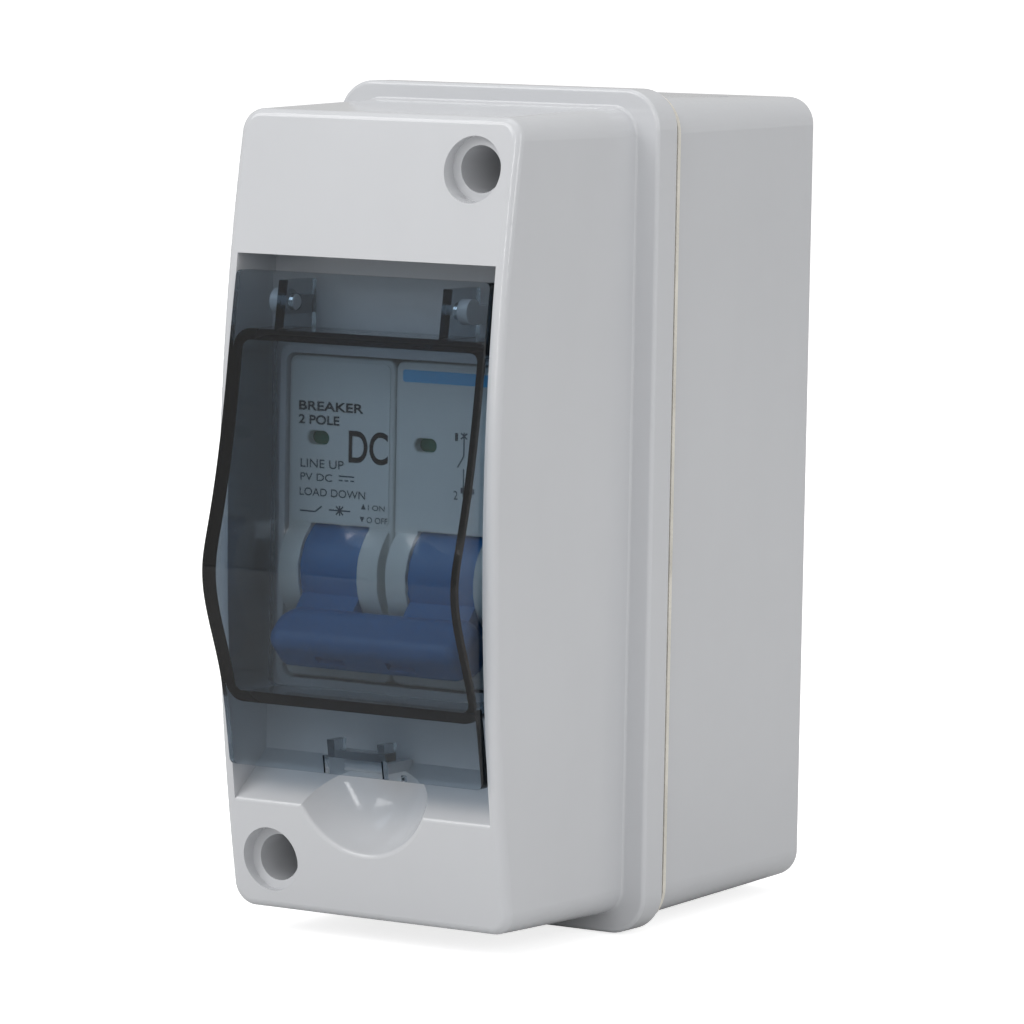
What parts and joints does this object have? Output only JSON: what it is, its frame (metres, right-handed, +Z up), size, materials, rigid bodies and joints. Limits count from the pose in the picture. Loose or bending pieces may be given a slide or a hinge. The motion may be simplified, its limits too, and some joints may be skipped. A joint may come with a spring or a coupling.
{
  "type": "dc combiner box",
  "caption": "Wall-mounted plastic enclosure with a smoked hinged window over a two-pole DC breaker on a rail, with cage terminals and cable knockouts.",
  "frame": {"origin": "centre of the back face that lies on the wall", "axes": "+X to the viewer's right, +Y into the wall, +Z up; the window faces -Y"},
  "size_m": [0.054, 0.0924, 0.1198],
  "materials": {
    "housing_grey": "fine satin moulded",
    "seal_foam": "foam",
    "zinc_steel": "zinc plated",
    "pin_steel": "plain",
    "smoked_window": "clear smoked, polished",
    "toggle_blue": "satin",
    "breaker_grey": "fine satin moulded",
    "label_white": "printed",
    "indicator_green": "plain",
    "copper": "bright copper",
    "bimetal_steel": "plain",
    "clip_plastic": "plain"
  },
  "bodies": {
    "housing": {"base_box": "housing_grey", "base_gasket": "seal_foam", "front_cover": "housing_grey", "cover_screws": "zinc_steel", "din_rail": "zinc_steel", "rail_screws": "zinc_steel", "breaker_1_left_shell": "breaker_grey", "breaker_1_right_shell": "breaker_grey", "breaker_1_rivets": "pin_steel", "breaker_1_pivot_pins": "pin_steel", "breaker_1_label_plate": "label_white", "breaker_1_line_contact": "copper", "breaker_1_arc_chute": "zinc_steel", "breaker_1_trip_coil": "copper", "breaker_1_load_bar": "copper", "breaker_1_bimetal": "bimetal_steel", "breaker_2_left_shell": "breaker_grey", "breaker_2_right_shell": "breaker_grey", "breaker_2_rivets": "pin_steel", "breaker_2_pivot_pins": "pin_steel", "breaker_2_label_plate": "label_white", "breaker_2_line_contact": "copper", "breaker_2_arc_chute": "zinc_steel", "breaker_2_trip_coil": "copper", "breaker_2_load_bar": "copper", "breaker_2_bimetal": "bimetal_steel"},
    "door": {"window_door": "smoked_window"},
    "handle": {"handle_tie_bar": "toggle_blue", "breaker_1_toggle": "toggle_blue", "breaker_2_toggle": "toggle_blue"},
    "contact_1": {"breaker_1_moving_contact": "copper"},
    "flag_1": {"breaker_1_indicator_flag": "indicator_green"},
    "plunger_1": {"breaker_1_trip_plunger": "zinc_steel"},
    "clip_1": {"breaker_1_rail_clip": "clip_plastic"},
    "screw_1_upper": {"breaker_1_upper_screw": "zinc_steel"},
    "cage_1_upper": {"breaker_1_upper_cage": "zinc_steel"},
    "screw_1_lower": {"breaker_1_lower_screw": "zinc_steel"},
    "cage_1_lower": {"breaker_1_lower_cage": "zinc_steel"},
    "contact_2": {"breaker_2_moving_contact": "copper"},
    "flag_2": {"breaker_2_indicator_flag": "indicator_green"},
    "plunger_2": {"breaker_2_trip_plunger": "zinc_steel"},
    "clip_2": {"breaker_2_rail_clip": "clip_plastic"},
    "screw_2_upper": {"breaker_2_upper_screw": "zinc_steel"},
    "cage_2_upper": {"breaker_2_upper_cage": "zinc_steel"},
    "screw_2_lower": {"breaker_2_lower_screw": "zinc_steel"},
    "cage_2_lower": {"breaker_2_lower_cage": "zinc_steel"}
  },
  "joints": [
    {"name": "door_hinge", "type": "hinge", "parent": "housing", "child": "door", "pos_m": [0, -0.0811, 0.0296], "axis": [-1, 0, 0], "range_deg": [0, 100]},
    {"name": "handle_throw", "type": "hinge", "parent": "housing", "child": "handle", "pos_m": [0, -0.0705, -0.0085], "axis": [-1, 0, 0], "range_deg": [0, 74]},
    {"name": "contact_1_swing", "type": "hinge", "parent": "housing", "child": "contact_1", "pos_m": [-0.009, -0.0486, -0.003], "axis": [-1, 0, 0], "range_deg": [0, 16]},
    {"name": "flag_1_slide", "type": "slide", "parent": "housing", "child": "flag_1", "axis": [0, 0, -1], "range_m": [0, 0.0045]},
    {"name": "plunger_1_stroke", "type": "slide", "parent": "housing", "child": "plunger_1", "axis": [0, 0, 1], "range_m": [0, 0.002], "stiffness_N_per_m": 60, "springref_m": -0.002},
    {"name": "clip_1_pull", "type": "slide", "parent": "housing", "child": "clip_1", "axis": [0, 0, -1], "range_m": [0, 0.0035], "stiffness_N_per_m": 900, "springref_m": -0.001},
    {"name": "screw_1_upper_turn", "type": "hinge", "parent": "housing", "child": "screw_1_upper", "pos_m": [-0.009, -0.0516, 0.0325], "axis": [0, 1, 0], "range_deg": [0, 1800]},
    {"name": "cage_1_upper_rise", "type": "slide", "parent": "housing", "child": "cage_1_upper", "axis": [0, -1, 0], "range_m": [0, 0.004]},
    {"name": "screw_1_lower_turn", "type": "hinge", "parent": "housing", "child": "screw_1_lower", "pos_m": [-0.009, -0.0516, -0.0341], "axis": [0, 1, 0], "range_deg": [0, 1800]},
    {"name": "cage_1_lower_rise", "type": "slide", "parent": "housing", "child": "cage_1_lower", "axis": [0, -1, 0], "range_m": [0, 0.004]},
    {"name": "contact_2_swing", "type": "hinge", "parent": "housing", "child": "contact_2", "pos_m": [0.009, -0.0486, -0.003], "axis": [-1, 0, 0], "range_deg": [0, 16]},
    {"name": "flag_2_slide", "type": "slide", "parent": "housing", "child": "flag_2", "axis": [0, 0, -1], "range_m": [0, 0.0045]},
    {"name": "plunger_2_stroke", "type": "slide", "parent": "housing", "child": "plunger_2", "axis": [0, 0, 1], "range_m": [0, 0.002], "stiffness_N_per_m": 60, "springref_m": -0.002},
    {"name": "clip_2_pull", "type": "slide", "parent": "housing", "child": "clip_2", "axis": [0, 0, -1], "range_m": [0, 0.0035], "stiffness_N_per_m": 900, "springref_m": -0.001},
    {"name": "screw_2_upper_turn", "type": "hinge", "parent": "housing", "child": "screw_2_upper", "pos_m": [0.009, -0.0516, 0.0325], "axis": [0, 1, 0], "range_deg": [0, 1800]},
    {"name": "cage_2_upper_rise", "type": "slide", "parent": "housing", "child": "cage_2_upper", "axis": [0, -1, 0], "range_m": [0, 0.004]},
    {"name": "screw_2_lower_turn", "type": "hinge", "parent": "housing", "child": "screw_2_lower", "pos_m": [0.009, -0.0516, -0.0341], "axis": [0, 1, 0], "range_deg": [0, 1800]},
    {"name": "cage_2_lower_rise", "type": "slide", "parent": "housing", "child": "cage_2_lower", "axis": [0, -1, 0], "range_m": [0, 0.004]}
  ],
  "couplings": [
    {"joint": "contact_1_swing", "follows": "handle_throw", "ratio": 0.2162},
    {"joint": "flag_1_slide", "follows": "handle_throw", "m_per_rad": 0.003484},
    {"joint": "screw_1_upper_turn", "follows": "cage_1_upper_rise", "rad_per_m": 7854},
    {"joint": "screw_1_lower_turn", "follows": "cage_1_lower_rise", "rad_per_m": 7854},
    {"joint": "contact_2_swing", "follows": "handle_throw", "ratio": 0.2162},
    {"joint": "flag_2_slide", "follows": "handle_throw", "m_per_rad": 0.003484},
    {"joint": "screw_2_upper_turn", "follows": "cage_2_upper_rise", "rad_per_m": 7854},
    {"joint": "screw_2_lower_turn", "follows": "cage_2_lower_rise", "rad_per_m": 7854}
  ]
}
